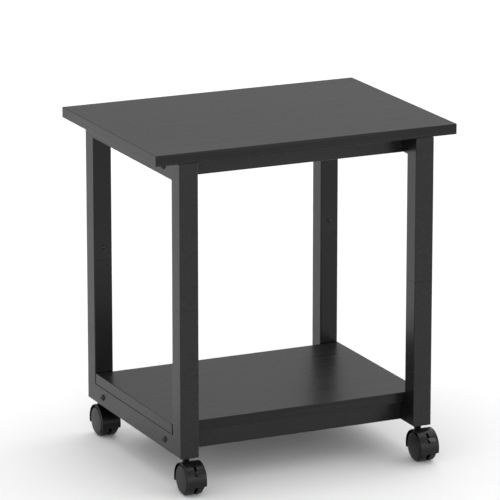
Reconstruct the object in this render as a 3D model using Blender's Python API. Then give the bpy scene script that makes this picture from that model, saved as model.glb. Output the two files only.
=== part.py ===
"""Mobile printer stand: split side frames of square tube, long rails, two boards and twin-wheel casters.

Metres, +Z up, and the front faces -Y. The origin is on the floor, in the middle of the stand's outline.
"""

import math

import bmesh
import bpy
from mathutils import Matrix, Vector

MM = 0.001
GAP = 0.3 * MM  # between parts that touch

# Square tube
TUBE = 30 * MM
WALL = 1.2 * MM
TUBE_CORNER = 2.0 * MM

# Frame
FRAME_WIDTH = 415 * MM
FRAME_DEPTH = 352 * MM
LEG_BOTTOM = 54 * MM
LEG_JOINT = 280 * MM
RAIL_SETBACK = 44 * MM  # from the legs' front faces to the long rails' front face
RAIL_PLATE = 2.5 * MM  # threaded plate welded into each end of a long rail

# Boards
BOARD = 16 * MM
BOARD_TOP = 518 * MM
BOARD_OVERHANG = 37.5 * MM
SHELF_LEG_GAP = 2.0 * MM
BOARD_EDGE = 0.4 * MM

# Casters
WHEEL_RADIUS = 24 * MM
WHEEL_OUTER = 16 * MM  # from the caster's middle plane to the wheel's outer face
WHEEL_INNER = 2.2 * MM
WHEEL_SIDES = 24
AXLE_OFFSET = 16.5 * MM  # from the stem's axis forward to the axle
AXLE_RADIUS = 1.9 * MM
AXLE_HALF = 13.4 * MM
HOOD_RADIUS = 26 * MM
HOOD_POCKET = 24.6 * MM
HOOD_HALF = 15.4 * MM
HOOD_EDGE = 0.7 * MM
HOOD_SKIRT = 7.6 * MM  # how far the hood comes down below the axle
WEB_HALF = 1.9 * MM
WEB_RADIUS = 19.5 * MM
NECK_RADIUS = 5.2 * MM
NECK_TOP = 52.7 * MM
STEM_RADIUS = 3.5 * MM
STEM_FOOT = 46 * MM

# Brake lever. Its points are placed by their distance from the axle and their angle above the horizontal.
LEVER_PIVOT_RADIUS = 19.5 * MM
LEVER_PIVOT_ANGLE = math.radians(28)
LEVER_REACH = 2.5 * MM  # how far the tab stands in front of the hood
LEVER_ROD_RADIUS = 2.0 * MM
TAB_ROOT_RADIUS = 26.4 * MM
TAB_ANGLES = (math.radians(31), math.radians(39))
TAB_ROOT_SPAN = (-2.0 * MM, 11.0 * MM)  # across the caster, from its middle plane
TAB_TIP_SPAN = (-0.9 * MM, 9.8 * MM)
TAB_TIP_TOP = 13.0 * MM  # over the axle
TAB_TIP_THICKNESS = 1.8 * MM
ARM_HALF = 1.3 * MM
ARM_THICKNESS = 2.0 * MM
SLOT_HALF = 2.0 * MM
SLOT_FLOOR = 20.5 * MM  # from the axle
SLOT_ANGLES = (math.radians(22), math.radians(59))

# Fasteners
FIT = 0.3 * MM  # radial room round a shank
BOLT_RADIUS = 3.0 * MM
BOLT_LENGTH = 38 * MM
BOLT_HEAD = 4.9 * MM
BOLT_HEAD_HEIGHT = 3.0 * MM
BOLT_SOCKET = 2.3 * MM
SCREW_RADIUS = 2.0 * MM
SCREW_HEAD = 3.6 * MM
SCREW_HEAD_HEIGHT = 1.8 * MM
SCREW_SOCKET = 1.5 * MM
JOINT_SCREW_RISE = 19 * MM  # above the leg joint
JOINT_SCREW_LENGTH = 9 * MM
BOARD_SCREW_LENGTH = 41 * MM
BOARD_SCREW_X = 120 * MM
CONNECTOR_HALF = 36 * MM
CONNECTOR_WALL = 2.0 * MM
CONNECTOR_PLAY = 0.4 * MM
NUT_WIDTH = 18 * MM
NUT_HEIGHT = 8 * MM
THREAD_RADIUS = 4.0 * MM

# Places that follow from the sizes above
OUTLINE_FRONT = TUBE / 2 - AXLE_OFFSET - HOOD_RADIUS - LEVER_REACH
FRONT = -(OUTLINE_FRONT + FRAME_DEPTH) / 2  # Y of the legs' front faces
BACK = FRONT + FRAME_DEPTH
SIDE_X = (FRAME_WIDTH - TUBE) / 2
LEG_Y = {"front": FRONT + TUBE / 2, "rear": BACK - TUBE / 2}
FRAME_TOP = BOARD_TOP - BOARD - GAP
SHELF_BOTTOM = LEG_BOTTOM + TUBE + GAP
RAIL_Y = {"front": FRONT + RAIL_SETBACK + TUBE / 2, "rear": BACK - RAIL_SETBACK - TUBE / 2}
RAIL_Z = {"top": FRAME_TOP - TUBE / 2, "bottom": LEG_BOTTOM + TUBE / 2}
RAIL_HALF = SIDE_X - TUBE / 2 - GAP
SIDES = {"left": -1, "right": 1}
ENDS = {"front": -1, "rear": 1}


# ---------------------------------------------------------------- materials


def material(name, colour, roughness, metallic=0.0):
    made = bpy.data.materials.new(name)
    made.use_nodes = True
    shader = made.node_tree.nodes["Principled BSDF"]
    shader.inputs["Base Color"].default_value = (*colour, 1.0)
    shader.inputs["Roughness"].default_value = roughness
    shader.inputs["Metallic"].default_value = metallic
    made.diffuse_color = (*colour, 1.0)
    return made


def make_materials():
    return {
        "tube": material("black_powder_coat", (0.035, 0.035, 0.036), 0.5, 0.2),
        "board": material("black_laminate", (0.045, 0.045, 0.046), 0.42),
        "bolt": material("black_oxide_steel", (0.025, 0.025, 0.026), 0.38, 0.9),
        "steel": material("zinc_steel", (0.55, 0.55, 0.57), 0.35, 1.0),
        "insert": material("black_insert_plastic", (0.03, 0.03, 0.03), 0.6),
        "hood": material("black_nylon", (0.022, 0.022, 0.023), 0.45),
        "wheel": material("dark_grey_nylon", (0.06, 0.06, 0.062), 0.5),
        "lever": material("black_satin_nylon", (0.028, 0.028, 0.029), 0.4),
    }


# ---------------------------------------------------------------- mesh helpers


def mesh_from(shape, name="part"):
    mesh = bpy.data.meshes.new(name)
    shape.to_mesh(mesh)
    shape.free()
    return mesh


def add_box(shape, low, high):
    size = Vector(high) - Vector(low)
    middle = (Vector(high) + Vector(low)) / 2
    place = Matrix.Translation(middle) @ Matrix.Diagonal((*size, 1.0))
    return bmesh.ops.create_cube(shape, size=1.0, matrix=place)["verts"]


def add_rod(shape, start, end, radius, sides=16):
    start = Vector(start)
    run = Vector(end) - start
    turn = run.to_track_quat("Z", "Y").to_matrix().to_4x4()
    place = Matrix.Translation(start + run / 2) @ turn
    bmesh.ops.create_cone(
        shape, cap_ends=True, segments=sides, radius1=radius, radius2=radius, depth=run.length, matrix=place
    )


def boxes(*corners):
    """Mesh of boxes that stand apart, each given by its lowest and highest corner."""
    shape = bmesh.new()
    for low, high in corners:
        add_box(shape, low, high)
    return mesh_from(shape)


def rods(ends, radius, sides=16):
    """Mesh of round bars that stand apart, each given by its two ends."""
    shape = bmesh.new()
    for start, end in ends:
        add_rod(shape, start, end, radius, sides)
    return mesh_from(shape)


def turned(profile, sides, turn=None):
    """Mesh of a solid turned round Z, capped flat at both ends. profile is (radius, height)."""
    shape = bmesh.new()
    points = [shape.verts.new((radius, 0, height)) for radius, height in profile]
    edges = [shape.edges.new(pair) for pair in zip(points, points[1:])]
    bmesh.ops.spin(
        shape,
        geom=points + edges,
        axis=(0, 0, 1),
        cent=(0, 0, 0),
        steps=sides,
        angle=math.tau,
        use_merge=True,
    )
    bmesh.ops.remove_doubles(shape, verts=shape.verts, dist=0.001 * MM)
    bmesh.ops.holes_fill(shape, edges=[edge for edge in shape.edges if edge.is_boundary])
    bmesh.ops.recalc_face_normals(shape, faces=shape.faces)
    if turn:
        bmesh.ops.transform(shape, matrix=turn, verts=shape.verts)
    return mesh_from(shape)


def extruded(outline, low, high):
    """Mesh of a (y, z) outline stretched along X from low to high."""
    shape = bmesh.new()
    face = shape.faces.new([shape.verts.new((low, y, z)) for y, z in outline])
    grown = bmesh.ops.extrude_face_region(shape, geom=[face])
    moved = [item for item in grown["geom"] if isinstance(item, bmesh.types.BMVert)]
    bmesh.ops.translate(shape, vec=(high - low, 0, 0), verts=moved)
    bmesh.ops.recalc_face_normals(shape, faces=shape.faces)
    return mesh_from(shape)


def shifted(mesh, offset):
    mesh.transform(Matrix.Translation(offset))
    return mesh


def rounded(mesh, width, chosen, segments=2):
    """The mesh with the edges that chosen(first, second) picks rounded off."""
    shape = bmesh.new()
    shape.from_mesh(mesh)
    edges = [edge for edge in shape.edges if chosen(edge.verts[0].co, edge.verts[1].co)]
    bmesh.ops.bevel(shape, geom=edges, offset=width, segments=segments, profile=0.5, affect="EDGES")
    return mesh_from(shape)


def combined(first, operation, second):
    """One mesh from two, by an exact Boolean."""
    base = bpy.data.objects.new("base", first)
    tool = bpy.data.objects.new("tool", second)
    for helper in (base, tool):
        bpy.context.scene.collection.objects.link(helper)
    step = base.modifiers.new("step", "BOOLEAN")
    step.operation = operation
    step.solver = "EXACT"
    step.object = tool
    bpy.context.view_layer.update()
    graph = bpy.context.evaluated_depsgraph_get()
    made = bpy.data.meshes.new_from_object(base.evaluated_get(graph))
    for helper in (base, tool):
        bpy.data.objects.remove(helper)
    return made


def cut(mesh, tool):
    return combined(mesh, "DIFFERENCE", tool)


def fused(mesh, other):
    return combined(mesh, "UNION", other)


def place(name, mesh, finish, where=(0, 0, 0), turn=None, smooth=True):
    """Adds one part to the scene. Copies of a part share its mesh."""
    part = bpy.data.objects.new(name, mesh)
    mesh.materials.clear()
    mesh.materials.append(finish)
    if smooth:
        mesh.shade_smooth()
        mesh.set_sharp_from_angle(angle=math.radians(30))
    part.location = where
    if turn:
        part.rotation_euler = turn
    bpy.context.scene.collection.objects.link(part)
    return part


# ---------------------------------------------------------------- frame


def bridge_outline(closed_z, open_z, inset):
    """(y, z) outline of a half frame, drawn in by inset: two legs from open_z, and the rail between."""
    out = 1 if closed_z > open_z else -1
    far = closed_z - out * inset
    near = closed_z - out * (TUBE - inset)
    return [
        (FRONT + inset, open_z),
        (FRONT + inset, far),
        (BACK - inset, far),
        (BACK - inset, open_z),
        (BACK - TUBE + inset, open_z),
        (BACK - TUBE + inset, near),
        (FRONT + TUBE - inset, near),
        (FRONT + TUBE - inset, open_z),
    ]


def half_frame(closed_z, open_z):
    """A bent and welded half of a side frame, hollow from end to end, with its long edges rounded."""
    out = 1 if closed_z > open_z else -1

    def along_the_tube(first, second):
        across = abs(first.x - second.x) > MM
        at_the_end = abs(first.z - open_z) < MM and abs(second.z - open_z) < MM
        return not across and not at_the_end

    frame = extruded(bridge_outline(closed_z, open_z, 0), -TUBE / 2, TUBE / 2)
    frame = rounded(frame, TUBE_CORNER, along_the_tube)
    inside = bridge_outline(closed_z, open_z - out * MM, WALL)
    return cut(frame, extruded(inside, WALL - TUBE / 2, TUBE / 2 - WALL))


def rail_bolt_holes(z):
    """Holes through both walls of a side rail, for the bolts that hold the long rails."""
    ends = [((-TUBE, y, z), (TUBE, y, z)) for y in RAIL_Y.values()]
    return rods(ends, BOLT_RADIUS + FIT, 12)


def joint_screw_holes():
    """Holes in the two inner walls of the upper legs, above the joint."""
    z = LEG_JOINT + JOINT_SCREW_RISE
    ends = [((0, LEG_Y[end], z), (0, LEG_Y[end] - out * TUBE, z)) for end, out in ENDS.items()]
    return rods(ends, SCREW_RADIUS + FIT, 12)


def stem_holes():
    ends = [((0, y, LEG_BOTTOM - MM), (0, y, LEG_BOTTOM + 2 * MM)) for y in LEG_Y.values()]
    return rods(ends, THREAD_RADIUS + FIT, 16)


def make_side_frames(finish):
    upper = half_frame(FRAME_TOP, LEG_JOINT + GAP / 2)
    upper = cut(upper, rail_bolt_holes(RAIL_Z["top"]))
    upper = cut(upper, joint_screw_holes())
    lower = half_frame(LEG_BOTTOM, LEG_JOINT - GAP / 2)
    lower = cut(lower, rail_bolt_holes(RAIL_Z["bottom"]))
    lower = cut(lower, stem_holes())
    for side, sign in SIDES.items():
        place(f"{side}_upper_frame", upper, finish, (sign * SIDE_X, 0, 0))
        place(f"{side}_lower_frame", lower, finish, (sign * SIDE_X, 0, 0))


def make_long_rails(finish):
    """Four alike: a square tube with a threaded plate in each end and two screw holes from below."""

    def lengthwise(first, second):
        return abs(first.x - second.x) > TUBE

    half = TUBE / 2
    room = half - WALL
    rail = boxes(((-RAIL_HALF, -half, -half), (RAIL_HALF, half, half)))
    rail = rounded(rail, TUBE_CORNER, lengthwise)
    inner = RAIL_HALF - RAIL_PLATE
    rail = cut(rail, boxes(((-inner, -room, -room), (inner, room, room))))
    ends = [((sign * RAIL_HALF * 1.05, 0, 0), (sign * inner * 0.95, 0, 0)) for sign in (-1, 1)]
    rail = cut(rail, rods(ends, BOLT_RADIUS + FIT, 12))
    ends = [((x, 0, -TUBE), (x, 0, TUBE)) for x in (-BOARD_SCREW_X, BOARD_SCREW_X)]
    rail = cut(rail, rods(ends, SCREW_RADIUS + FIT, 12))
    for level, z in RAIL_Z.items():
        for end, y in RAIL_Y.items():
            place(f"{end}_{level}_rail", rail, finish, (0, y, z))


def make_boards(finish):
    """The top board and the shelf, each with blind holes for the screws that come up through the rails."""

    def any_edge(first, second):
        return True

    depth = BOARD_SCREW_LENGTH - TUBE + MM
    for name, level, low, high in (
        (
            "top_board",
            "top",
            (-FRAME_WIDTH / 2 - BOARD_OVERHANG, FRONT, BOARD_TOP - BOARD),
            (FRAME_WIDTH / 2 + BOARD_OVERHANG, BACK, BOARD_TOP),
        ),
        (
            "lower_shelf",
            "bottom",
            (-FRAME_WIDTH / 2, FRONT + TUBE + SHELF_LEG_GAP, SHELF_BOTTOM),
            (FRAME_WIDTH / 2, BACK - TUBE - SHELF_LEG_GAP, SHELF_BOTTOM + BOARD),
        ),
    ):
        board = rounded(boxes((low, high)), BOARD_EDGE, any_edge, segments=1)
        z = RAIL_Z[level] + TUBE / 2
        ends = [
            ((x, y, z - MM), (x, y, z + depth))
            for x in (-BOARD_SCREW_X, BOARD_SCREW_X)
            for y in RAIL_Y.values()
        ]
        place(name, cut(board, rods(ends, SCREW_RADIUS + FIT, 12)), finish)


def make_connectors(finish):
    """A square sleeve inside each leg joint, drilled for its screw."""
    outer = TUBE / 2 - WALL - CONNECTOR_PLAY
    inner = outer - CONNECTOR_WALL
    for end, out in ENDS.items():
        sleeve = boxes(((-outer, -outer, -CONNECTOR_HALF), (outer, outer, CONNECTOR_HALF)))
        sleeve = cut(sleeve, boxes(((-inner, -inner, -TUBE * 2), (inner, inner, TUBE * 2))))
        hole = rods([((0, 0, JOINT_SCREW_RISE), (0, -out * TUBE, JOINT_SCREW_RISE))], SCREW_RADIUS + FIT, 12)
        sleeve = cut(sleeve, hole)
        for side, sign in SIDES.items():
            place(f"{end}_{side}_leg_connector", sleeve, finish, (sign * SIDE_X, LEG_Y[end], LEG_JOINT))


def make_caster_nuts(finish):
    """A square weld nut on the floor of each leg, for the caster's thread."""
    half = NUT_WIDTH / 2
    nut = boxes(((-half, -half, 0), (half, half, NUT_HEIGHT)))
    nut = cut(nut, rods([((0, 0, -MM), (0, 0, NUT_HEIGHT + MM))], THREAD_RADIUS + FIT, 16))
    z = LEG_BOTTOM + WALL + GAP
    for end, y in LEG_Y.items():
        for side, sign in SIDES.items():
            place(f"{end}_{side}_caster_nut", nut, finish, (sign * SIDE_X, y, z))


# ---------------------------------------------------------------- fasteners


def fastener(shank, length, head, height, socket, sides):
    """A domed-head screw along -Z whose head's seat is at z = 0, with a hexagonal socket in the head."""
    dome = [
        (head * 0.62, height),
        (head * 0.9, height * 0.66),
        (head, height * 0.15),
        (head, 0),
        (shank, 0),
        (shank, -length + shank * 0.4),
        (shank * 0.6, -length),
    ]
    return cut(turned(dome, sides), rods([((0, 0, height * 0.35), (0, 0, height * 2))], socket, 6))


def make_frame_bolts(finish):
    """Button-head bolts through the side rails into the long rails' end plates."""
    bolt = fastener(BOLT_RADIUS, BOLT_LENGTH, BOLT_HEAD, BOLT_HEAD_HEIGHT, BOLT_SOCKET, 14)
    for side, sign in SIDES.items():
        for level, z in RAIL_Z.items():
            for end, y in RAIL_Y.items():
                where = (sign * (FRAME_WIDTH / 2 + GAP), y, z)
                turn = (0, sign * math.radians(90), 0)
                place(f"{side}_{end}_{level}_bolt", bolt, finish, where, turn)


def make_joint_screws(finish):
    """Small screws from the inner faces of the legs into the connectors."""
    screw = fastener(SCREW_RADIUS, JOINT_SCREW_LENGTH, SCREW_HEAD, SCREW_HEAD_HEIGHT, SCREW_SOCKET, 10)
    for end, out in ENDS.items():
        for side, sign in SIDES.items():
            where = (sign * SIDE_X, LEG_Y[end] - out * (TUBE / 2 + GAP), LEG_JOINT + JOINT_SCREW_RISE)
            turn = (out * math.radians(90), 0, 0)
            place(f"{end}_{side}_joint_screw", screw, finish, where, turn)


def make_board_screws(finish):
    """Long screws up through the long rails into the top board and the shelf."""
    screw = fastener(SCREW_RADIUS, BOARD_SCREW_LENGTH, SCREW_HEAD, SCREW_HEAD_HEIGHT, SCREW_SOCKET, 10)
    for level, board in (("top", "board"), ("bottom", "shelf")):
        for end, y in RAIL_Y.items():
            for side, sign in SIDES.items():
                where = (sign * BOARD_SCREW_X, y, RAIL_Z[level] - TUBE / 2 - GAP)
                place(f"{board}_screw_{end}_{side}", screw, finish, where, (math.radians(180), 0, 0))


# ---------------------------------------------------------------- casters

# A caster is drawn with its stem's axis at x = y = 0, its wheels trailing to -Y, and the floor at z = 0.
AXLE = Vector((0, -AXLE_OFFSET, WHEEL_RADIUS))
ALONG_X = Matrix.Rotation(math.radians(90), 4, "Y")


def round_the_axle(radius, angle):
    """(y, z) at an angle above the horizontal, measured from the caster's front."""
    return AXLE.y - radius * math.cos(angle), AXLE.z + radius * math.sin(angle)


LEVER_PIVOT = round_the_axle(LEVER_PIVOT_RADIUS, LEVER_PIVOT_ANGLE)


def round_bar(low, high, radius, sides):
    """A round bar on the axle's line, from x = low to x = high."""
    return rods([((low, AXLE.y, AXLE.z), (high, AXLE.y, AXLE.z))], radius, sides)


def hood(braked):
    """The caster's body: a hood over both wheels, a web between them, and a neck that turns on the stem."""

    def rim(first, second):
        return abs(first.x - second.x) < MM

    reach = 2 * HOOD_RADIUS
    skirt = AXLE.z - HOOD_SKIRT
    body = rounded(round_bar(-HOOD_HALF, HOOD_HALF, HOOD_RADIUS, 36), HOOD_EDGE, rim, segments=1)
    body = fused(body, rods([((0, 0, AXLE.z), (0, 0, NECK_TOP))], NECK_RADIUS, 18))
    for low, high in ((WEB_HALF, reach), (-reach, -WEB_HALF)):
        body = cut(body, round_bar(low, high, HOOD_POCKET, 36))
    below = boxes(((-reach, AXLE.y - reach, skirt - reach), (reach, AXLE.y + reach, skirt)))
    body = cut(body, cut(below, round_bar(-2 * reach, 2 * reach, WEB_RADIUS, 28)))
    body = cut(body, rods([((0, 0, STEM_FOOT - GAP), (0, 0, NECK_TOP + MM))], STEM_RADIUS + FIT, 12))
    body = cut(body, round_bar(-reach, reach, AXLE_RADIUS + FIT, 12))
    return cut(body, brake_slot()) if braked else body


def polar_band(radii, angles, steps=6):
    """(y, z) outline of a band round the axle, between two radii and two angles."""
    turns = [angles[0] + (angles[1] - angles[0]) * i / steps for i in range(steps + 1)]
    outside = [round_the_axle(radii[1], angle) for angle in turns]
    return outside + [round_the_axle(radii[0], angle) for angle in reversed(turns)]


def brake_slot():
    """The lever's room in the hood: a slot through skin and web, with the pivot's seat at its foot."""
    y, z = LEVER_PIVOT
    seat_half = (WEB_HALF + SLOT_HALF) / 2
    seat = rods([((-seat_half, y, z), (seat_half, y, z))], LEVER_ROD_RADIUS + GAP, 16)
    slot = extruded(polar_band((SLOT_FLOOR, HOOD_RADIUS + MM), SLOT_ANGLES), -SLOT_HALF, SLOT_HALF)
    return fused(seat, slot)


def stem():
    """A steel pin that turns in the neck, with a collar under the leg and a thread above it."""
    collar_low = NECK_TOP + GAP
    collar_high = LEG_BOTTOM - GAP
    profile = [
        (THREAD_RADIUS - 0.8 * MM, LEG_BOTTOM + 17 * MM),
        (THREAD_RADIUS, LEG_BOTTOM + 16.2 * MM),
        (THREAD_RADIUS, collar_high),
        (NECK_RADIUS, collar_high),
        (NECK_RADIUS, collar_low),
        (STEM_RADIUS, collar_low),
        (STEM_RADIUS, STEM_FOOT),
    ]
    return turned(profile, 12)


def wheel():
    """One of a caster's two wheels, a cup with its disc outwards at +X and a hub sleeve on the axle."""
    face = WHEEL_OUTER
    edge = WHEEL_INNER
    bore = AXLE_RADIUS + FIT
    profile = [
        (18.4 * MM, face),
        (20.4 * MM, face - 1.2 * MM),
        (22.9 * MM, face - 1.7 * MM),
        (WHEEL_RADIUS, face - 3.4 * MM),
        (WHEEL_RADIUS, edge + 1.1 * MM),
        (WHEEL_RADIUS - 1.1 * MM, edge),
        (21.4 * MM, edge),
        (20.8 * MM, face - 3.0 * MM),
        (4.4 * MM, face - 2.6 * MM),
        (4.0 * MM, edge + 0.4 * MM),
        (bore, edge + 0.4 * MM),
        (bore, AXLE_HALF + GAP),
    ]
    return turned(profile, WHEEL_SIDES, ALONG_X)


def lever_tab():
    """The sloping tab that a foot presses, narrower at its tip."""
    low, high = (round_the_axle(TAB_ROOT_RADIUS, angle) for angle in TAB_ANGLES)
    tip = Vector((AXLE.y - HOOD_RADIUS - LEVER_REACH, AXLE.z + TAB_TIP_TOP))
    under = tip - Vector((0, TAB_TIP_THICKNESS))
    mesh = extruded([low, high, tip, under], *TAB_ROOT_SPAN)
    front = (low[0] + tip[0]) / 2
    for vertex in mesh.vertices:
        if vertex.co.y < front:
            left = vertex.co.x < sum(TAB_ROOT_SPAN) / 2
            vertex.co.x = TAB_TIP_SPAN[0] if left else TAB_TIP_SPAN[1]
    return mesh


def brake_lever():
    """The tab on an arm that reaches through the slot to a pivot in the web."""
    pivot = Vector(LEVER_PIVOT)
    low, high = TAB_ANGLES
    root = Vector(round_the_axle(TAB_ROOT_RADIUS + GAP, (low + high) / 2))
    side = (root - pivot).normalized().orthogonal() * ARM_THICKNESS / 2
    arm = extruded([pivot - side, pivot + side, root + side, root - side], -ARM_HALF, ARM_HALF)
    rod = rods([((-WEB_HALF + GAP, *pivot), (WEB_HALF - GAP, *pivot))], LEVER_ROD_RADIUS, 16)
    return fused(fused(lever_tab(), arm), rod)


def make_casters(finishes):
    hoods = {"front": hood(True), "rear": hood(False)}
    pin = stem()
    axle = rods([((-AXLE_HALF, 0, 0), (AXLE_HALF, 0, 0))], AXLE_RADIUS, 12)
    disc = wheel()
    lever = shifted(brake_lever(), (0, -LEVER_PIVOT[0], -LEVER_PIVOT[1]))
    for end, y in LEG_Y.items():
        for side, sign in SIDES.items():
            foot = Vector((sign * SIDE_X, y, 0))
            name = f"{end}_{side}_caster"
            place(f"{name}_stem", pin, finishes["steel"], foot)
            place(f"{name}_hood", hoods[end], finishes["hood"], foot)
            place(f"{name}_axle", axle, finishes["steel"], foot + AXLE)
            place(f"{name}_wheel_left", disc, finishes["wheel"], foot + AXLE, (0, 0, math.pi))
            place(f"{name}_wheel_right", disc, finishes["wheel"], foot + AXLE)
            if end == "front":
                place(f"{name}_brake_lever", lever, finishes["lever"], foot + Vector((0, *LEVER_PIVOT)))


def main():
    for old in list(bpy.data.objects):
        bpy.data.objects.remove(old)
    finishes = make_materials()
    make_side_frames(finishes["tube"])
    make_long_rails(finishes["tube"])
    make_boards(finishes["board"])
    make_connectors(finishes["insert"])
    make_caster_nuts(finishes["steel"])
    make_frame_bolts(finishes["bolt"])
    make_joint_screws(finishes["bolt"])
    make_board_screws(finishes["steel"])
    make_casters(finishes)


main()
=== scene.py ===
"""Mobile printer stand: the detailed model on its CAD frame, in a plain white studio."""

import math

import bmesh
import bpy
from mathutils import Matrix, Vector


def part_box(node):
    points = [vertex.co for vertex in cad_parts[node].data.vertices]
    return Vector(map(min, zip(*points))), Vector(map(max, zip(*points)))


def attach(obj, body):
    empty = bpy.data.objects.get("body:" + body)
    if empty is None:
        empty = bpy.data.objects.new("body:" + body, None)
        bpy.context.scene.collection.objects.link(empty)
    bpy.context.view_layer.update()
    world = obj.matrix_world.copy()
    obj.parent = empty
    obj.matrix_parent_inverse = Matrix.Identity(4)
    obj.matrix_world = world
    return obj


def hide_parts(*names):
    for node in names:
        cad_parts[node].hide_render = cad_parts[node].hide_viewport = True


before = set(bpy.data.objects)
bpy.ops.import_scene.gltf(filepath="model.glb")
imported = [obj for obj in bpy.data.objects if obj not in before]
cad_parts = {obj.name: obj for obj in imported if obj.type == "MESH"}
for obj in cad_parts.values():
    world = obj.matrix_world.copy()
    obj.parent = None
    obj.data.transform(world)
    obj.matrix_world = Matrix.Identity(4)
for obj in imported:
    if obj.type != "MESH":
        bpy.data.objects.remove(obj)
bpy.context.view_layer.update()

MM = 0.001
GAP = 0.3 * MM  # between neighbouring pieces
OVERCUT = 1.0 * MM  # how far a cutting shape runs past what it cuts
SIDES = {"left": -1, "right": 1}
ENDS = {"front": -1, "rear": 1}

# Side frames and rails
TUBE_CORNER = 2.0 * MM
TUBE_CORNER_STEPS = 5
TUBE_WALL = 1.2 * MM
END_PLATE = 2.5 * MM
PLATE_HOLE_REACH = 4 * MM
JOINT_HOLE_REACH = 8 * MM
STEM_HOLE = 4.3 * MM
STEM_HOLE_RISE = 2 * MM
HOLE_STEPS = 32

# Boards
BAND = 0.7 * MM  # thickness of the edge band
BAND_ROUND = 0.6 * MM
BAND_ROUND_STEPS = 4
BAND_SEAM = 0.35 * MM
SLAB_EDGE = 0.15 * MM
SLAB_EDGE_STEPS = 2

# Fasteners
BOLT_RADIUS = 3.0 * MM
BOLT_LENGTH = 38 * MM
BOLT_HEAD_RADIUS = 4.9 * MM
BOLT_HEAD_HEIGHT = 3.0 * MM
SCREW_RADIUS = 2.0 * MM
JOINT_SCREW_LENGTH = 9 * MM
BOARD_SCREW_LENGTH = 41 * MM
SCREW_HEAD_RADIUS = 3.6 * MM
SCREW_HEAD_HEIGHT = 1.8 * MM
SCREW_STEPS = 48
DOME_ANGLES = (0.1, 0.4, 0.7, 1.0, 1.2)
DOME_FLAT_SHARE = 0.3528  # these three are shares of the head's radius or height
SOCKET_SHARE = 0.46
SOCKET_FLOOR_SHARE = 0.35
SOCKET_SIDES = 6
BOLT_HOLE_REACH = 3  # bolt lengths, each way from the bolt's middle
SCREW_PITCH = 1.0 * MM
SCREW_THREAD_DEPTH = 0.25 * MM
PLAIN_SHANK = 4 * MM
POINT_LENGTH = 0.6 * MM
POINT_SHARE = 0.6  # of the shank's radius

# Casters, measured from the axle
HOOD_STEPS = 120
HOOD_RADIUS = 26 * MM
HOOD_POCKET = 24.6 * MM
HOOD_HALF = 15.4 * MM
HOOD_ROUND = 0.6 * MM
HOOD_ROUND_ANGLES = (0, 0.4, 0.8, 1.2, math.pi / 2)
HOOD_SKIRT = 7.6 * MM
WEB_HALF = 1.9 * MM
WEB_RADIUS = 19.5 * MM
WEB_STEPS = 100
NECK_RADIUS = 5.2 * MM
NECK_FLARE = 1.8 * MM
NECK_FLARE_STEPS = ((1.0, -4.0), (0.5, 0.5), (0.1, 2.0), (0.0, 3.0))  # share of it, and mm above the hood
NECK_ROUND = 0.4 * MM
NECK_BORE = 3.8 * MM
NECK_STEPS = 64
BORE_RADIUS = 2.2 * MM

# A wheel's profile, from its disc's centre to its hub's bore: radius and distance outwards, in mm
WHEEL_STEPS = 96
WHEEL_PROFILE = (
    (1.0, 16.0), (6.0, 15.95), (12.0, 15.8), (17.0, 15.5), (19.6, 15.2), (20.4, 14.9), (20.8, 14.4),
    (20.9, 13.6), (21.0, 12.6), (21.4, 12.3), (22.8, 12.2), (23.5, 11.9), (23.9, 11.3), (24.0, 10.4),
    (24.0, 7.0), (24.0, 3.9), (23.7, 3.0), (23.0, 2.4), (22.0, 2.2), (21.4, 2.2), (20.2, 3.4),
    (19.6, 12.6), (4.4, 13.2), (4.0, 2.6), (2.2, 2.6), (2.2, 13.7),
)

# Caster stems: a thread above the collar and a pin below it
THREAD_CREST = 3.9 * MM
THREAD_ROOT = 3.5 * MM
THREAD_TIP = 3.2 * MM
THREAD_CHAMFER = 0.7 * MM
THREAD_PITCH = 1.25 * MM
THREAD_END = 1.0 * MM  # left plain at both ends of the thread
PIN_RADIUS = 3.5 * MM
STEM_STEPS = 48

# Brake levers, measured from the axle: angles in degrees above the horizontal, from the front
SLOT_HALF = 2.0 * MM
SLOT_FLOOR = 20.5 * MM
SLOT_ANGLES = (22, 59)
LEVER_PIVOT = (19.5 * MM, 28)
LEVER_ROD = 1.9 * MM
LEVER_ROD_HALF = 1.6 * MM
LEVER_SEAT_HALF = WEB_HALF * 1.02
ARM_HALF = 1.3 * MM
ARM_HALF_THICKNESS = 1.0 * MM
ARM_IN_TAB = 1.0 * MM
TAB_ROOT_RADIUS = 26.4 * MM
TAB_ANGLES = (31, 39)
TAB_ROOT_SPAN = (-2.0 * MM, 11.0 * MM)
TAB_TIP_SPAN = (-0.9 * MM, 9.8 * MM)
TAB_TIP = (-28.5 * MM, 13.0 * MM)
TAB_TIP_THICKNESS = 1.8 * MM
TAB_ROUND = 0.5 * MM
TAB_ROUND_STEPS = 4

SHARP_ANGLE = math.radians(34)  # a face turning by more than this keeps a hard edge

# Finishes: each noise is its scale and detail
GRAIN_DETAIL = 5.0
GRAIN_GLOSS = (-0.03, 0.03)
PATCH_NOISE = (14.0, 3.0)
WEAR_NOISE = (220.0, 3.0)
WEAR_POINTINESS = (0.53, 0.6)
BEND_NOISE = (5.0, 2.0)
BEND_RANGE = (0.6, 1.0)
STREAK_NOISE = (210.0, 8.0)
STREAK_RANGE = (0.0, 1.0, 0.35, 0.68)
PORE_NOISE = (620.0, 3.0)
PORE_GLOSS = (-0.02, 0.03)
LAMINATE_RELIEF = (0.05, 0.00003)
LAMINATE_IOR = 1.35
ALONG_X = (0.012, 1.0, 1.0)

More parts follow.
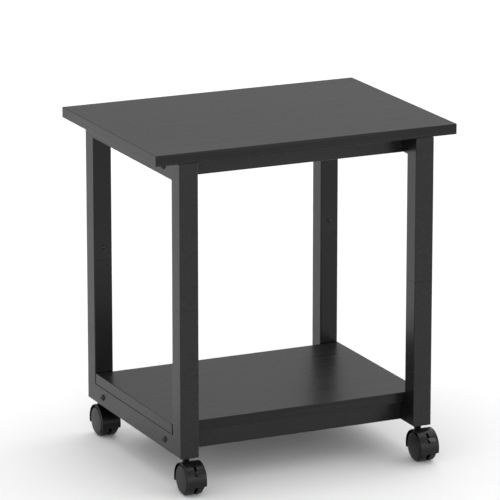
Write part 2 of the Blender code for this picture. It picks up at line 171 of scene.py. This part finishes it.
# Studio
CAMERA_PLACE = Vector((-2.5496, -5.4260, 1.9083))
CAMERA_TURN = (math.radians(75.09), 0, math.radians(-24.996))
CAMERA_LENS = 295.365
CAMERA_CLIP = 200
FLOOR_HALF = 40.0
FLOOR_TONE = (0.87, 0.89)
FLOOR_NOISE = 3.0
FLOOR_ROUGHNESS = 0.9
KEY_STRENGTH = 1.3
KEY_SPREAD = math.radians(75)
KEY_FROM = Vector((0.45, 0.5, 1.2))
WORLD_BACK = (0.42, 0.9, 0.0)  # towards the dim side
WORLD_FRONT_GLOW = 2.6
WORLD_BACK_GLOW = 0.36
WORLD_TOP_GLOW = 0.75
WORLD_TOP_RISE = (0.28, 0.6)  # the heights where the glow turns from the sides' to the top's


# ---------------------------------------------------------------- materials


class Nodes:
    """A material under construction, with short calls for the nodes that the finishes share."""

    def __init__(self, name):
        self.material = bpy.data.materials.new(name)
        self.material.use_nodes = True
        self.tree = self.material.node_tree
        self.shader = self.tree.nodes["Principled BSDF"]
        self.place = self.add("ShaderNodeTexCoord").outputs["Object"]

    def add(self, kind, **settings):
        node = self.tree.nodes.new(kind)
        for key, value in settings.items():
            setattr(node, key, value)
        return node

    def link(self, source, target):
        self.tree.links.new(source, target)

    def stretched(self, scale):
        mapping = self.add("ShaderNodeMapping")
        mapping.inputs["Scale"].default_value = scale
        self.link(self.place, mapping.inputs["Vector"])
        return mapping.outputs["Vector"]

    def noise(self, scale, detail=4.0, stretch=(1, 1, 1)):
        texture = self.add("ShaderNodeTexNoise")
        texture.inputs["Scale"].default_value = scale
        texture.inputs["Detail"].default_value = detail
        self.link(self.stretched(stretch), texture.inputs["Vector"])
        return texture.outputs["Fac"]

    def ranged(self, source, low, high, start=0.3, end=0.7):
        """source remapped from start..end to low..high."""
        remap = self.add("ShaderNodeMapRange")
        remap.inputs["From Min"].default_value = start
        remap.inputs["From Max"].default_value = end
        remap.inputs["To Min"].default_value = low
        remap.inputs["To Max"].default_value = high
        self.link(source, remap.inputs["Value"])
        return remap.outputs["Result"]

    def blended(self, factor, first, second):
        """A colour between two, by factor."""
        ramp = self.add("ShaderNodeValToRGB")
        ramp.color_ramp.elements[0].color = (*first, 1)
        ramp.color_ramp.elements[1].color = (*second, 1)
        self.link(factor, ramp.inputs["Fac"])
        return ramp.outputs["Color"]

    def joined(self, operation, first, second):
        """Two values added or multiplied."""
        node = self.add("ShaderNodeMath", operation=operation)
        self.link(first, node.inputs[0])
        self.link(second, node.inputs[1])
        return node.outputs[0]

    def edge_wear(self):
        """Where the surface is sharply convex, broken up by a grain."""
        grain = self.noise(*WEAR_NOISE)
        geometry = self.add("ShaderNodeNewGeometry")
        sharp = self.ranged(geometry.outputs["Pointiness"], 0, 1, *WEAR_POINTINESS)
        return self.joined("MULTIPLY", sharp, grain)

    def bump(self, height, strength, distance):
        node = self.add("ShaderNodeBump")
        node.inputs["Strength"].default_value = strength
        node.inputs["Distance"].default_value = distance
        self.link(height, node.inputs["Height"])
        self.link(node.outputs["Normal"], self.shader.inputs["Normal"])

    def set(self, **values):
        for key, value in values.items():
            self.shader.inputs[key.replace("_", " ")].default_value = value


def grey(value):
    return (value, value, value * 1.01)


def coated(name, dark, worn, roughness, grain, relief, ior=1.4, metallic=0.0):
    """A finish with grain, broad patches of roughness and worn edges.

    dark and worn are greys, roughness is a range, grain is a noise scale, relief is a strength and a depth.
    """
    nodes = Nodes(name)
    fine = nodes.noise(grain, GRAIN_DETAIL)
    broad = nodes.noise(*PATCH_NOISE)
    wear = nodes.edge_wear()
    nodes.link(nodes.blended(wear, grey(dark), grey(worn)), nodes.shader.inputs["Base Color"])
    gloss = nodes.joined("ADD", nodes.ranged(broad, *roughness), nodes.ranged(fine, *GRAIN_GLOSS))
    nodes.link(gloss, nodes.shader.inputs["Roughness"])
    nodes.bump(fine, *relief)
    nodes.set(IOR=ior, Metallic=metallic)
    return nodes.material


def laminated(name, dark, light, roughness):
    """Black wood-grain laminate: long streaks over finer pores, in its colour, gloss and relief."""
    nodes = Nodes(name)
    bent = nodes.noise(*BEND_NOISE)
    streaks = nodes.noise(*STREAK_NOISE, ALONG_X)
    pores = nodes.noise(*PORE_NOISE, ALONG_X)
    wear = nodes.edge_wear()
    grain = nodes.joined(
        "MULTIPLY", nodes.ranged(streaks, *STREAK_RANGE), nodes.ranged(bent, *BEND_RANGE)
    )
    tone = nodes.joined("ADD", grain, wear)
    nodes.link(nodes.blended(tone, grey(dark), grey(light)), nodes.shader.inputs["Base Color"])
    gloss = nodes.joined("ADD", nodes.ranged(streaks, *roughness), nodes.ranged(pores, *PORE_GLOSS))
    nodes.link(gloss, nodes.shader.inputs["Roughness"])
    nodes.bump(nodes.joined("ADD", streaks, pores), *LAMINATE_RELIEF)
    nodes.set(IOR=LAMINATE_IOR)
    return nodes.material


def make_finishes():
    return {
        "powder_coat": coated("powder_coat", 0.002, 0.014, (0.24, 0.31), 900.0, (0.06, 0.00005), ior=1.36),
        "laminate": laminated("laminate", 0.001, 0.009, (0.26, 0.32)),
        "edge_band": laminated("edge_band", 0.001, 0.008, (0.22, 0.3)),
        "black_oxide": coated("black_oxide", 0.004, 0.05, (0.26, 0.38), 1500.0, (0.1, 0.00004)),
        "zinc_steel": coated("zinc_steel", 0.5, 0.7, (0.24, 0.38), 800.0, (0.1, 0.00004), metallic=1.0),
        "dark_stem": coated("dark_stem", 0.02, 0.05, (0.34, 0.46), 900.0, (0.1, 0.00004), metallic=0.6),
        "insert_plastic": coated("insert_plastic", 0.012, 0.03, (0.4, 0.5), 700.0, (0.1, 0.00006)),
        "hood_nylon": coated("hood_nylon", 0.002, 0.016, (0.26, 0.36), 760.0, (0.12, 0.00006), ior=1.36),
        "wheel_nylon": coated("wheel_nylon", 0.002, 0.014, (0.3, 0.42), 640.0, (0.14, 0.00008), ior=1.33),
        # lever: black nylon, its greys set lighter than the hood's as a painted highlight for the key light
        # on the tab
        "lever_nylon": coated("lever_nylon", 0.01, 0.035, (0.3, 0.4), 820.0, (0.12, 0.00006)),
    }


# ---------------------------------------------------------------- meshes


def mesh_from(shape):
    bmesh.ops.recalc_face_normals(shape, faces=shape.faces)
    mesh = bpy.data.meshes.new("shape")
    shape.to_mesh(mesh)
    shape.free()
    return mesh


def spun(profile, steps, axis="Z"):
    """A (radius, height) profile turned round an axis, and capped flat at both ends."""
    shape = bmesh.new()
    rings = []
    for index in range(steps):
        turn = Matrix.Rotation(math.tau * index / steps, 3, "Z")
        rings.append([shape.verts.new(turn @ Vector((radius, 0, height))) for radius, height in profile])
    for ring, following in zip(rings, rings[1:] + rings[:1]):
        for here in range(len(profile) - 1):
            shape.faces.new((ring[here], ring[here + 1], following[here + 1], following[here]))
    shape.faces.new([ring[0] for ring in rings])
    shape.faces.new([ring[-1] for ring in rings])
    if axis == "X":
        bmesh.ops.transform(shape, matrix=Matrix.Rotation(math.radians(90), 4, "Y"), verts=shape.verts)
    return mesh_from(shape)


def bar(start, end, radius, steps=HOLE_STEPS):
    """A round bar between two points."""
    shape = bmesh.new()
    start = Vector(start)
    run = Vector(end) - start
    turn = run.to_track_quat("Z", "Y").to_matrix().to_4x4()
    rings = []
    for height in (0, run.length):
        ring = []
        for index in range(steps):
            angle = math.tau * index / steps
            point = Vector((radius * math.cos(angle), radius * math.sin(angle), height))
            ring.append(shape.verts.new(start + turn @ point))
        rings.append(ring)
    for index in range(steps):
        there = (index + 1) % steps
        shape.faces.new((rings[0][index], rings[0][there], rings[1][there], rings[1][index]))
    for ring in rings:
        shape.faces.new(ring)
    return mesh_from(shape)


def extruded(outline, low, high):
    """A (y, z) outline stretched along X."""
    shape = bmesh.new()
    ends = [[shape.verts.new((x, y, z)) for y, z in outline] for x in (low, high)]
    for ring in ends:
        shape.faces.new(ring)
    for index in range(len(outline)):
        there = (index + 1) % len(outline)
        shape.faces.new((ends[0][index], ends[0][there], ends[1][there], ends[1][index]))
    return mesh_from(shape)


def block(low, high):
    outline = [(low[1], low[2]), (high[1], low[2]), (high[1], high[2]), (low[1], high[2])]
    return extruded(outline, low[0], high[0])


def bevelled(mesh, width, segments, chosen=lambda first, second: True):
    """The mesh with the edges that chosen(first, second) picks rounded."""
    shape = bmesh.new()
    shape.from_mesh(mesh)
    edges = [edge for edge in shape.edges if chosen(edge.verts[0].co, edge.verts[1].co)]
    bmesh.ops.bevel(shape, geom=edges, offset=width, segments=segments, profile=0.5, affect="EDGES")
    return mesh_from(shape)


def combined(first, operation, second):
    """One mesh from two, by an exact Boolean."""
    base = bpy.data.objects.new("base", first)
    tool = bpy.data.objects.new("tool", second)
    for helper in (base, tool):
        bpy.context.scene.collection.objects.link(helper)
    step = base.modifiers.new("step", "BOOLEAN")
    step.operation = operation
    step.solver = "EXACT"
    step.object = tool
    bpy.context.view_layer.update()
    graph = bpy.context.evaluated_depsgraph_get()
    made = bpy.data.meshes.new_from_object(base.evaluated_get(graph))
    for helper in (base, tool):
        bpy.data.objects.remove(helper)
    return made


def cut(mesh, *tools):
    for tool in tools:
        mesh = combined(mesh, "DIFFERENCE", tool)
    return mesh


def fused(mesh, *others):
    for other in others:
        mesh = combined(mesh, "UNION", other)
    return mesh


def middle(node):
    low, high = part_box(node)
    return (low + high) / 2


def piece(name, mesh, body, slot, nodes, where=(0, 0, 0), turn=(0, 0, 0), finish=None):
    """One piece of the visual model. It rides on a CAD body and stands for CAD nodes."""
    made = bpy.data.objects.new(name, mesh)
    mesh.materials.clear()
    mesh.materials.append(FINISHES[finish or slot])
    mesh.shade_smooth()
    mesh.set_sharp_from_angle(angle=SHARP_ANGLE)
    made.location = where
    made.rotation_euler = turn
    bpy.context.scene.collection.objects.link(made)
    weighted = made.modifiers.new("normals", "WEIGHTED_NORMAL")
    weighted.keep_sharp = True
    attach(made, body)
    if nodes:
        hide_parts(*nodes)


# ---------------------------------------------------------------- frame


def bridge(low, high, tube, out, inset, past_joint):
    """(y, z) outline of two legs and the rail that joins them. The rail is on top where out is 1."""
    closed, open_z = (high.z, low.z) if out > 0 else (low.z, high.z)
    far = closed - out * inset
    near = closed - out * (tube - inset)
    foot = open_z - out * past_joint
    front, back = low.y, high.y
    return [
        (front + inset, foot),
        (front + inset, far),
        (back - inset, far),
        (back - inset, foot),
        (back - tube + inset, foot),
        (back - tube + inset, near),
        (front + tube - inset, near),
        (front + tube - inset, foot),
    ]


def bolt_hole(node):
    """A bar through a bolt and well past both of its ends, for cutting its hole."""
    centre = middle(node)
    low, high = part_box(node)
    reach = Vector(((high - low).x * BOLT_HOLE_REACH, 0, 0))
    return bar(centre - reach, centre + reach, BOLT_RADIUS + GAP)


def half_frame(node, out, holes):
    """A hollow half of a side frame, with finely rounded long edges."""
    low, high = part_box(node)
    tube = high.x - low.x
    open_z = low.z if out > 0 else high.z

    def along_the_tube(first, second):
        at_the_end = abs(first.z - open_z) < MM and abs(second.z - open_z) < MM
        return abs(first.x - second.x) < MM and not at_the_end

    shell = extruded(bridge(low, high, tube, out, 0, 0), low.x, high.x)
    shell = bevelled(shell, TUBE_CORNER, TUBE_CORNER_STEPS, along_the_tube)
    inside = bridge(low, high, tube, out, TUBE_WALL, OVERCUT)
    shell = cut(shell, extruded(inside, low.x + TUBE_WALL, high.x - TUBE_WALL))
    return cut(shell, *holes)


def make_side_frames():
    for side in SIDES:
        for half, out, level, other_hole in (
            ("upper", 1, "top", joint_screw_hole),
            ("lower", -1, "bottom", stem_hole),
        ):
            holes = [bolt_hole(f"{side}_{end}_{level}_bolt") for end in ENDS]
            holes += [other_hole(end, side) for end in ENDS]
            node = f"{side}_{half}_frame"
            piece(f"{node}_tube", half_frame(node, out, holes), "frame", "powder_coat", [node])


def joint_screw_hole(end, side):
    centre = middle(f"{end}_{side}_joint_screw")
    reach = Vector((0, JOINT_HOLE_REACH, 0))
    return bar(centre - reach, centre + reach, SCREW_RADIUS + GAP)


def stem_hole(end, side):
    centre = middle(f"{end}_{side}_caster_stem")
    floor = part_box(f"{side}_lower_frame")[0].z
    start = (centre.x, centre.y, floor - OVERCUT)
    return bar(start, (centre.x, centre.y, floor + STEM_HOLE_RISE), STEM_HOLE)


def is_long(first, second):
    """An edge that runs along a rail, not round its end."""
    return abs(first.x - second.x) > TUBE_CORNER


def make_rails():
    for level in ("top", "bottom"):
        for end in ENDS:
            node = f"{end}_{level}_rail"
            low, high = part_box(node)
            shell = bevelled(block(low, high), TUBE_CORNER, TUBE_CORNER_STEPS, is_long)
            room = Vector((END_PLATE, TUBE_WALL, TUBE_WALL))
            shell = cut(shell, block(low + room, high - room), *rail_holes(end, level, low, high))
            piece(f"{node}_tube", shell, "frame", "powder_coat", [node])


def rail_holes(end, level, low, high):
    """Bolt holes in the end plates, and screw holes up through both walls."""
    board = {"top": "board", "bottom": "shelf"}[level]
    centre = (low + high) / 2
    holes = []
    for side, sign in SIDES.items():
        edge = centre + Vector((sign * (high.x - low.x) / 2, 0, 0))
        reach = Vector((PLATE_HOLE_REACH, 0, 0))
        holes.append(bar(edge - reach, edge + reach, BOLT_RADIUS + GAP))
        screw = middle(f"{board}_screw_{end}_{side}")
        start = (screw.x, centre.y, low.z - OVERCUT)
        holes.append(bar(start, (screw.x, centre.y, high.z + OVERCUT), SCREW_RADIUS + GAP))
    return holes


def inset_box(low, high, inset):
    """A box's corners, drawn in on its four sides only."""
    move = Vector((inset, inset, 0))
    return low + move, high - move


def make_boards():
    """Each board is a laminated slab with an edge band round its four sides."""
    for node, board in (("top_board", "board"), ("lower_shelf", "shelf")):
        low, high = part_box(node)
        slab = bevelled(block(*inset_box(low, high, BAND + BAND_SEAM)), SLAB_EDGE, SLAB_EDGE_STEPS)
        screws = [board_hole(board, end, side) for end in ENDS for side in SIDES]
        piece(f"{node}_slab", cut(slab, *screws), "frame", "laminate", [node])
        ring = bevelled(block(low, high), BAND_ROUND, BAND_ROUND_STEPS)
        inner_low, inner_high = inset_box(low, high, BAND)
        reach = Vector((0, 0, OVERCUT))
        ring = cut(ring, block(inner_low - reach, inner_high + reach))
        piece(f"{node}_edge_band", ring, "frame", "laminate", [], finish="edge_band")


def board_hole(board, end, side):
    """The pilot hole that a screw's upper end fills."""
    low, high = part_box(f"{board}_screw_{end}_{side}")
    centre = (low + high) / 2
    return bar((centre.x, centre.y, low.z), (centre.x, centre.y, high.z + GAP), SCREW_RADIUS + GAP)


# ---------------------------------------------------------------- fasteners


def domed(shank, length, head, height):
    """A screw along -Z with its head's seat at z = 0: a domed head with a hexagonal socket."""
    dome = [(head * math.cos(angle), height * math.sin(angle)) for angle in DOME_ANGLES]
    profile = [(head * DOME_FLAT_SHARE, height)] + list(reversed(dome))
    profile += [(head, 0.0), (shank, 0.0)]
    turns = int((length - PLAIN_SHANK) / SCREW_PITCH)
    for index in range(turns):
        top = -PLAIN_SHANK - index * SCREW_PITCH
        profile += [(shank, top), (shank - SCREW_THREAD_DEPTH, top - SCREW_PITCH / 2)]
    profile += [(shank, -length + POINT_LENGTH), (shank * POINT_SHARE, -length)]
    socket = bar((0, 0, height * SOCKET_FLOOR_SHARE), (0, 0, height * 2), head * SOCKET_SHARE, SOCKET_SIDES)
    return cut(spun(profile, SCREW_STEPS), socket)


def make_fasteners():
    bolt = domed(BOLT_RADIUS, BOLT_LENGTH, BOLT_HEAD_RADIUS, BOLT_HEAD_HEIGHT)
    for side, sign in SIDES.items():
        for end in ENDS:
            for level in ("top", "bottom"):
                node = f"{side}_{end}_{level}_bolt"
                low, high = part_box(node)
                seat = high.x - BOLT_HEAD_HEIGHT if sign > 0 else low.x + BOLT_HEAD_HEIGHT
                centre = middle(node)
                where = (seat, centre.y, centre.z)
                turn = (0, sign * math.pi / 2, 0)
                piece(f"{node}_screw", bolt, "frame", "black_oxide", [node], where, turn)
    make_small_screws()


def make_small_screws():
    short = domed(SCREW_RADIUS, JOINT_SCREW_LENGTH, SCREW_HEAD_RADIUS, SCREW_HEAD_HEIGHT)
    long = domed(SCREW_RADIUS, BOARD_SCREW_LENGTH, SCREW_HEAD_RADIUS, SCREW_HEAD_HEIGHT)
    for end, out in ENDS.items():
        for side in SIDES:
            node = f"{end}_{side}_joint_screw"
            low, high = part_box(node)
            centre = middle(node)
            seat = low.y + SCREW_HEAD_HEIGHT if out > 0 else high.y - SCREW_HEAD_HEIGHT
            turn = (out * math.pi / 2, 0, 0)
            piece(f"{node}_part", short, "frame", "black_oxide", [node], (centre.x, seat, centre.z), turn)
            for board in ("board", "shelf"):
                node = f"{board}_screw_{end}_{side}"
                low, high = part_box(node)
                centre = middle(node)
                where = (centre.x, centre.y, low.z + SCREW_HEAD_HEIGHT)
                piece(f"{node}_part", long, "frame", "zinc_steel", [node], where, (math.pi, 0, 0))


# ---------------------------------------------------------------- casters


def polar(radius, degrees):
    """(y, z) from the axle, at an angle above the horizontal, measured from the front."""
    angle = math.radians(degrees)
    return -radius * math.cos(angle), radius * math.sin(angle)


def arc(radii, angles, steps=24):
    """(y, z) outline of a band between two radii and two angles."""
    turns = [angles[0] + (angles[1] - angles[0]) * index / steps for index in range(steps + 1)]
    outside = [polar(radii[1], angle) for angle in turns]
    return outside + [polar(radii[0], angle) for angle in reversed(turns)]


def disc_round(low, high, radius, steps=HOOD_STEPS):
    return bar((low, 0, 0), (high, 0, 0), radius, steps)


def hood(braked, neck_y, neck_top, stem_foot):
    """Hood, web and neck, drawn round the axle. The neck and the stem in it are placed from the axle too."""
    reach = 2 * HOOD_RADIUS
    rim = [
        (HOOD_RADIUS - HOOD_ROUND * (1 - math.sin(turn)), -HOOD_HALF + HOOD_ROUND * (1 - math.cos(turn)))
        for turn in HOOD_ROUND_ANGLES
    ]
    profile = rim + [(radius, -height) for radius, height in reversed(rim)]
    body = spun(profile, HOOD_STEPS, "X")
    base = math.sqrt(HOOD_RADIUS**2 - neck_y**2)
    neck = [(NECK_RADIUS + NECK_FLARE * share, base + rise * MM) for share, rise in NECK_FLARE_STEPS]
    neck += [(NECK_RADIUS, neck_top - NECK_ROUND), (NECK_RADIUS - NECK_ROUND, neck_top)]
    neck_mesh = spun(neck, NECK_STEPS)
    neck_mesh.transform(Matrix.Translation((0, neck_y, 0)))
    body = fused(body, neck_mesh)
    body = cut(body, disc_round(WEB_HALF, reach, HOOD_POCKET), disc_round(-reach, -WEB_HALF, HOOD_POCKET))
    below = block((-reach, -reach, -HOOD_SKIRT - reach), (reach, reach, -HOOD_SKIRT))
    body = cut(body, cut(below, disc_round(-2 * reach, 2 * reach, WEB_RADIUS, WEB_STEPS)))
    body = cut(body, bar((0, neck_y, stem_foot), (0, neck_y, neck_top + OVERCUT), NECK_BORE))
    body = cut(body, disc_round(-reach, reach, BORE_RADIUS, HOLE_STEPS))
    if not braked:
        return body
    y, z = polar(*LEVER_PIVOT)
    seat = bar((-LEVER_SEAT_HALF, y, z), (LEVER_SEAT_HALF, y, z), LEVER_ROD + GAP)
    slot = extruded(arc((SLOT_FLOOR, HOOD_RADIUS + OVERCUT), SLOT_ANGLES), -SLOT_HALF, SLOT_HALF)
    return cut(body, slot, seat)


def wheel():
    """A cup with a domed disc outwards at +X, a groove round it, a crowned tread and a hub sleeve."""
    return spun([(radius * MM, height * MM) for radius, height in WHEEL_PROFILE], WHEEL_STEPS, "X")


def lever():
    """The sloping tab on an arm that reaches through the slot to its pivot."""
    low, high = (polar(TAB_ROOT_RADIUS, angle) for angle in TAB_ANGLES)
    under = (TAB_TIP[0], TAB_TIP[1] - TAB_TIP_THICKNESS)
    tab = extruded([low, high, TAB_TIP, under], *TAB_ROOT_SPAN)
    front = (low[0] + TAB_TIP[0]) / 2
    for vertex in tab.vertices:
        if vertex.co.y < front:
            left = vertex.co.x < sum(TAB_ROOT_SPAN) / 2
            vertex.co.x = TAB_TIP_SPAN[0] if left else TAB_TIP_SPAN[1]
    tab = bevelled(tab, TAB_ROUND, TAB_ROUND_STEPS)
    pivot = Vector(polar(*LEVER_PIVOT))
    root = Vector(polar(TAB_ROOT_RADIUS + ARM_IN_TAB, sum(TAB_ANGLES) / 2))
    side = (root - pivot).normalized().orthogonal() * ARM_HALF_THICKNESS
    arm = extruded([pivot - side, pivot + side, root + side, root - side], -ARM_HALF, ARM_HALF)
    rod = bar((-LEVER_ROD_HALF, *pivot), (LEVER_ROD_HALF, *pivot), LEVER_ROD)
    return fused(tab, arm, rod)


def stem(thread_top, leg_bottom, neck_top, foot):
    """A steel pin with a collar under the leg and a thread above it, from the floor up."""
    profile = [(THREAD_TIP, thread_top), (THREAD_CREST, thread_top - THREAD_CHAMFER)]
    height = thread_top - THREAD_END
    while height - THREAD_PITCH > leg_bottom + THREAD_END:
        profile += [(THREAD_CREST, height), (THREAD_ROOT, height - THREAD_PITCH / 2)]
        height -= THREAD_PITCH
    profile += [(THREAD_CREST, leg_bottom - GAP), (NECK_RADIUS, leg_bottom - GAP)]
    profile += [(NECK_RADIUS, neck_top + GAP), (PIN_RADIUS, neck_top + GAP), (PIN_RADIUS, foot)]
    return spun(profile, STEM_STEPS)


def make_casters():
    sample_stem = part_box("front_left_caster_stem")
    sample_axle = middle("front_left_caster_axle")
    leg_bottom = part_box("left_lower_frame")[0].z
    neck_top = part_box("front_left_caster_hood")[1].z
    shape = (
        middle("front_left_caster_stem").y - sample_axle.y,
        neck_top - sample_axle.z,
        sample_stem[0].z - GAP - sample_axle.z,
    )
    hoods = {"front": hood(True, *shape), "rear": hood(False, *shape)}
    rolling, pressing = wheel(), lever()
    pin = stem(sample_stem[1].z, leg_bottom, neck_top, sample_stem[0].z)
    for end in ENDS:
        for side in SIDES:
            name = f"{end}_{side}_caster"
            swivel = f"{end}_{side}_swivel"
            axle = middle(f"{name}_axle")
            piece(f"{name}_shell", hoods[end], swivel, "hood_nylon", [f"{name}_hood"], axle)
            post = middle(f"{name}_stem")
            where = (post.x, post.y, 0)
            piece(f"{name}_pin", pin, "frame", "zinc_steel", [f"{name}_stem"], where, finish="dark_stem")
            for half, sign in SIDES.items():
                body = f"{end}_{side}_{half}_wheel"
                turn = (0, 0, 0 if sign > 0 else math.pi)
                node = f"{name}_wheel_{half}"
                piece(f"{node}_rim", rolling, body, "wheel_nylon", [node], axle, turn)
            if end == "front":
                node = f"{name}_brake_lever"
                piece(f"{node}_tab", pressing, f"front_{side}_brake", "lever_nylon", [node], axle)


def dress_carried_nodes():
    """The CAD nodes that stay in view get the finish of their material slot."""
    for end in ENDS:
        for side in SIDES:
            for node, finish in (
                (f"{end}_{side}_leg_connector", "insert_plastic"),
                (f"{end}_{side}_caster_nut", "zinc_steel"),
                (f"{end}_{side}_caster_axle", "zinc_steel"),
            ):
                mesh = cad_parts[node].data
                mesh.materials.clear()
                mesh.materials.append(FINISHES[finish])


# ---------------------------------------------------------------- studio


def make_studio():
    shape = bmesh.new()
    corners = ((-1, -1), (1, -1), (1, 1), (-1, 1))
    shape.faces.new([shape.verts.new((x * FLOOR_HALF, y * FLOOR_HALF, 0)) for x, y in corners])
    floor = bpy.data.objects.new("studio_floor", mesh_from(shape))
    nodes = Nodes("studio_floor")
    tone = nodes.blended(nodes.noise(FLOOR_NOISE), *[(value, value, value) for value in FLOOR_TONE])
    nodes.link(tone, nodes.shader.inputs["Base Color"])
    nodes.set(Roughness=FLOOR_ROUGHNESS, IOR=1.0)
    floor.data.materials.append(nodes.material)
    bpy.context.scene.collection.objects.link(floor)
    light = bpy.data.lights.new("studio_key", "SUN")
    light.energy = KEY_STRENGTH
    light.angle = KEY_SPREAD
    key = bpy.data.objects.new("studio_key", light)
    key.rotation_euler = KEY_FROM.to_track_quat("Z", "Y").to_euler()
    bpy.context.scene.collection.objects.link(key)
    bpy.context.scene.world = make_world()


def make_world():
    """A white room, brightest low in front of the stand and dimmer low behind it."""
    world = bpy.data.worlds.new("studio")
    world.use_nodes = True
    tree = world.node_tree
    around = tree.nodes.new("ShaderNodeTexCoord").outputs["Generated"]
    facing = tree.nodes.new("ShaderNodeVectorMath")
    facing.operation = "DOT_PRODUCT"
    facing.inputs[1].default_value = WORLD_BACK
    tree.links.new(around, facing.inputs[0])
    low = tree.nodes.new("ShaderNodeMapRange")
    low.inputs["From Min"].default_value = -1.0
    low.inputs["To Min"].default_value = WORLD_FRONT_GLOW
    low.inputs["To Max"].default_value = WORLD_BACK_GLOW
    tree.links.new(facing.outputs["Value"], low.inputs["Value"])
    split = tree.nodes.new("ShaderNodeSeparateXYZ")
    tree.links.new(around, split.inputs["Vector"])
    height = tree.nodes.new("ShaderNodeMapRange")
    height.inputs["From Min"].default_value = WORLD_TOP_RISE[0]
    height.inputs["From Max"].default_value = WORLD_TOP_RISE[1]
    tree.links.new(split.outputs["Z"], height.inputs["Value"])
    glow = tree.nodes.new("ShaderNodeMix")
    glow.inputs["B"].default_value = WORLD_TOP_GLOW
    tree.links.new(height.outputs["Result"], glow.inputs["Factor"])
    tree.links.new(low.outputs["Result"], glow.inputs["A"])
    background = tree.nodes["Background"]
    background.inputs["Color"].default_value = (1, 1, 1, 1)
    tree.links.new(glow.outputs["Result"], background.inputs["Strength"])
    return world


def make_camera():
    lens = bpy.data.cameras.new("camera")
    lens.lens = CAMERA_LENS
    lens.clip_end = CAMERA_CLIP
    camera = bpy.data.objects.new("camera", lens)
    camera.location = CAMERA_PLACE
    camera.rotation_euler = CAMERA_TURN
    bpy.context.scene.collection.objects.link(camera)
    bpy.context.scene.camera = camera
    bpy.context.scene.view_settings.view_transform = "Standard"


FINISHES = make_finishes()
make_side_frames()
make_rails()
make_boards()
make_fasteners()
make_casters()
dress_carried_nodes()
make_studio()
make_camera()
